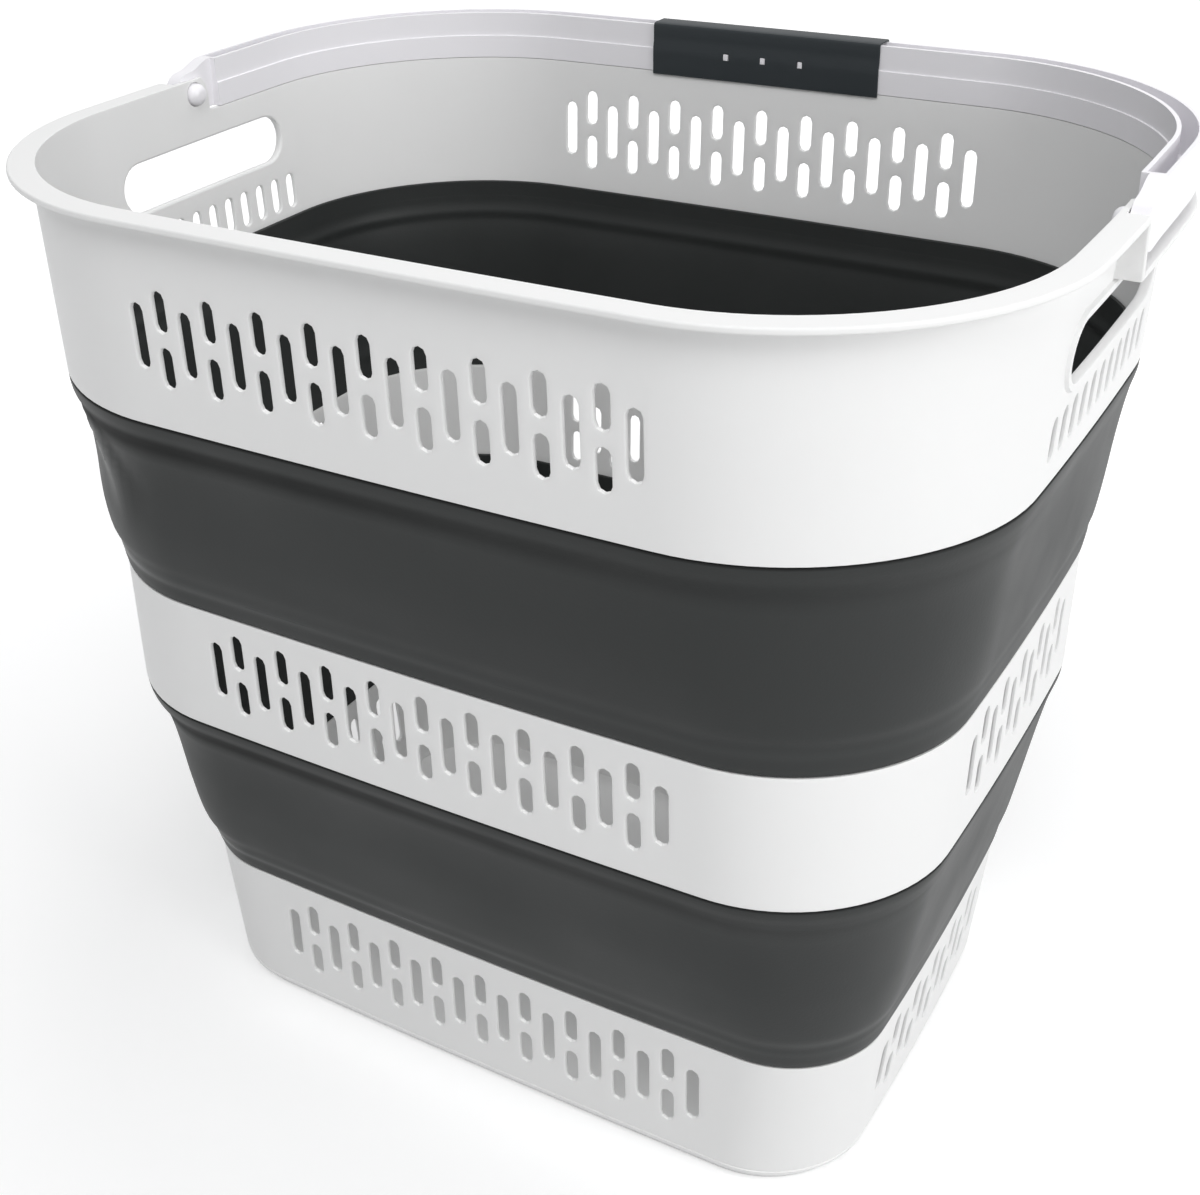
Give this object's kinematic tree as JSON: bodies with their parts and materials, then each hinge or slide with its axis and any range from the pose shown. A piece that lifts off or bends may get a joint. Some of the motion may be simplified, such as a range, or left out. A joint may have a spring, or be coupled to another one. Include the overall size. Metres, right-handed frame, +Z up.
{
  "type": "collapsible laundry hamper",
  "caption": "Rounded rectangular laundry hamper of slotted white bands joined by dark folding sleeves, with a hinged half-ring carry bail and soft grip.",
  "frame": {"origin": "on the floor, under the middle of the tray", "axes": "+X towards the right-hand hand hole, +Y to the back, where the bail rests, +Z up"},
  "size_m": [0.451, 0.3548, 0.4237],
  "materials": {
    "band_white": "moulded satin",
    "bail_white": "moulded satin",
    "sleeve_rubber": "matte with a soft sheen",
    "grip_rubber": "matte"
  },
  "bodies": {
    "base": {"base_tray": "band_white", "lower_sleeve": "sleeve_rubber"},
    "middle": {"middle_band": "band_white", "upper_sleeve": "sleeve_rubber"},
    "rim": {"rim_band": "band_white"},
    "bail": {"carry_bail": "bail_white", "bail_grip": "grip_rubber"}
  },
  "joints": [
    {"name": "middle_slide", "type": "slide", "parent": "base", "child": "middle", "axis": [0, 0, 1], "range_m": [-0.1656, 0], "deforming": ["lower_sleeve"]},
    {"name": "rim_slide", "type": "slide", "parent": "middle", "child": "rim", "axis": [0, 0, 1], "range_m": [-0.1542, 0], "deforming": ["upper_sleeve"]},
    {"name": "bail_hinge", "type": "hinge", "parent": "rim", "child": "bail", "pos_m": [0, 0, 0.4088], "axis": [1, 0, 0], "range_deg": [0, 90]}
  ]
}
